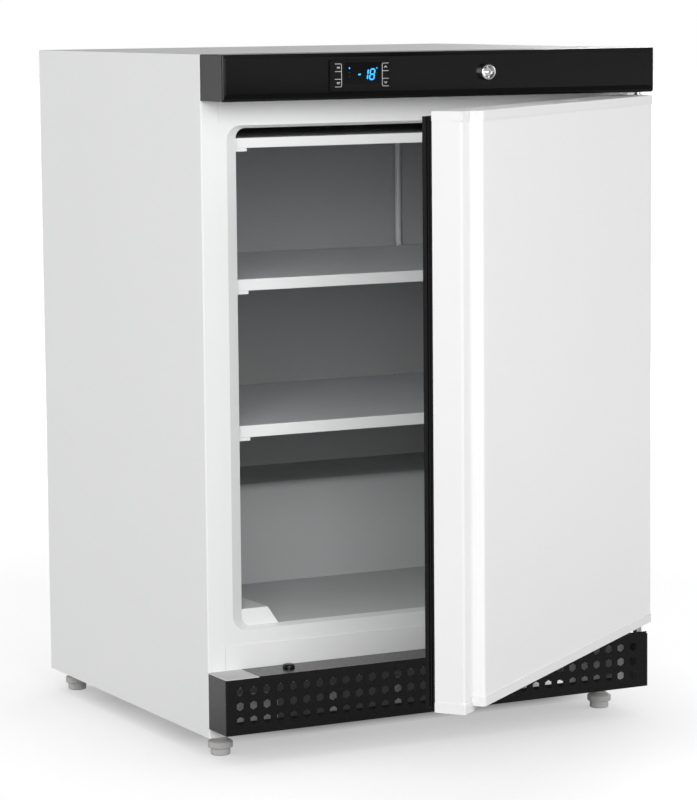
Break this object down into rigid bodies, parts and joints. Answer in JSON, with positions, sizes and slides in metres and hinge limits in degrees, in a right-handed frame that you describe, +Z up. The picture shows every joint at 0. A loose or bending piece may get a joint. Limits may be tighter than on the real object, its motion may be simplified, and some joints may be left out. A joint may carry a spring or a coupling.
{
  "type": "upright storage freezer",
  "caption": "Undercounter storage freezer with a solid hinged door, refrigerated wire-tube shelves, lockable control fascia, vented plinth and levelling feet.",
  "frame": {"origin": "on the floor, midway between the four feet, under the middle of the casing", "axes": "+X to the right seen from the front, +Y from the door to the back, +Z up"},
  "size_m": [0.6044, 0.932, 0.855],
  "materials": {
    "casing_paint": "satin white powder coat",
    "frame_paint": "satin white powder coat",
    "galvanised_steel": "galvanised",
    "dark_steel": "matte",
    "liner_plastic": "satin",
    "rigid_foam": "matte rigid foam",
    "shelf_paint": "satin",
    "evaporator_tube": "white coated",
    "trim_plastic": "gloss",
    "foot_plastic": "matte",
    "plinth_paint": "satin black powder coat",
    "notch_plastic": "matte",
    "black_screw": "satin black",
    "zinc_hardware": "zinc plated",
    "fascia_plastic": "satin black",
    "fascia_housing_plastic": "matte black",
    "controller_plastic": "matte black",
    "display_window": "gloss",
    "lock_metal": "polished",
    "door_paint": "satin white powder coat",
    "door_profile_plastic": "satin",
    "gasket_rubber": "matte black",
    "bush_plastic": "matte",
    "condenser_paint": "satin black",
    "compressor_paint": "gloss black",
    "mount_rubber": "matte",
    "relay_plastic": "matte black",
    "copper": "drawn copper",
    "inlet_plastic": "matte black"
  },
  "bodies": {
    "cabinet": {"left_side_panel": "casing_paint", "right_side_panel": "casing_paint", "top_panel": "casing_paint", "top_rail": "frame_paint", "bottom_rail": "frame_paint", "back_panel": "galvanised_steel", "floor_panel": "galvanised_steel", "inner_liner": "liner_plastic", "insulation_foam": "rigid_foam", "shelf_plates": "shelf_paint", "shelf_trims": "trim_plastic", "shelf_clips": "trim_plastic", "evaporator_coils": "evaporator_tube", "evaporator_pipes": "evaporator_tube", "temperature_probe": "trim_plastic", "base_rails": "galvanised_steel", "front_crossmember": "dark_steel", "base_brackets": "galvanised_steel", "compressor_plate": "galvanised_steel", "plinth_grille": "plinth_paint", "hinge_notch_cover": "notch_plastic", "plinth_screws": "black_screw", "fascia_housing": "fascia_housing_plastic", "fascia_front": "fascia_plastic", "controller_body": "controller_plastic", "controller_window": "display_window", "lock_barrel": "lock_metal", "lock_nut": "zinc_hardware", "upper_hinge_bracket": "zinc_hardware", "upper_hinge_pin": "zinc_hardware", "lower_hinge_bracket": "plinth_paint", "lower_hinge_pin": "zinc_hardware", "hinge_screws": "zinc_hardware", "condenser_tube": "condenser_paint", "condenser_wires": "condenser_paint", "condenser_brackets": "condenser_paint", "compressor": "compressor_paint", "compressor_mounts": "mount_rubber", "relay_cover": "relay_plastic", "filter_drier": "copper", "refrigerant_pipes": "copper", "power_inlet": "inlet_plastic"},
    "door": {"door_top_cap": "door_profile_plastic", "door_bottom_cap": "door_profile_plastic", "door_side_profiles": "door_profile_plastic", "door_front_panel": "door_paint", "door_inner_panel": "liner_plastic", "door_foam": "rigid_foam", "door_gasket": "gasket_rubber", "door_bushes": "bush_plastic"},
    "lock": {"lock_plug": "lock_metal", "lock_cam": "zinc_hardware"},
    "key_defrost": {"key_defrost": "controller_plastic"},
    "key_set": {"key_set": "controller_plastic"},
    "key_up": {"key_up": "controller_plastic"},
    "key_down": {"key_down": "controller_plastic"},
    "foot_front_left": {"foot_front_left": "foot_plastic"},
    "foot_front_right": {"foot_front_right": "foot_plastic"},
    "foot_rear_left": {"foot_rear_left": "foot_plastic"},
    "foot_rear_right": {"foot_rear_right": "foot_plastic"}
  },
  "joints": [
    {"name": "door_hinge", "type": "hinge", "parent": "cabinet", "child": "door", "pos_m": [0.2895, -0.29, 0.45], "axis": [0, 0, 1], "range_deg": [-37.5, 77]},
    {"name": "lock_turn", "type": "hinge", "parent": "cabinet", "child": "lock", "pos_m": [0.0575, -0.3, 0.8287], "axis": [0, 1, 0], "range_deg": [0, 90]},
    {"name": "key_defrost_press", "type": "slide", "parent": "cabinet", "child": "key_defrost", "axis": [0, 1, 0], "range_m": [0, 0.0005], "stiffness_N_per_m": 1500, "springref_m": -0.0003},
    {"name": "key_set_press", "type": "slide", "parent": "cabinet", "child": "key_set", "axis": [0, 1, 0], "range_m": [0, 0.0005], "stiffness_N_per_m": 1500, "springref_m": -0.0003},
    {"name": "key_up_press", "type": "slide", "parent": "cabinet", "child": "key_up", "axis": [0, 1, 0], "range_m": [0, 0.0005], "stiffness_N_per_m": 1500, "springref_m": -0.0003},
    {"name": "key_down_press", "type": "slide", "parent": "cabinet", "child": "key_down", "axis": [0, 1, 0], "range_m": [0, 0.0005], "stiffness_N_per_m": 1500, "springref_m": -0.0003},
    {"name": "foot_front_left_screw", "type": "slide", "parent": "cabinet", "child": "foot_front_left", "axis": [0, 0, -1], "range_m": [0, 0.012]},
    {"name": "foot_front_right_screw", "type": "slide", "parent": "cabinet", "child": "foot_front_right", "axis": [0, 0, -1], "range_m": [0, 0.012]},
    {"name": "foot_rear_left_screw", "type": "slide", "parent": "cabinet", "child": "foot_rear_left", "axis": [0, 0, -1], "range_m": [0, 0.012]},
    {"name": "foot_rear_right_screw", "type": "slide", "parent": "cabinet", "child": "foot_rear_right", "axis": [0, 0, -1], "range_m": [0, 0.012]}
  ]
}
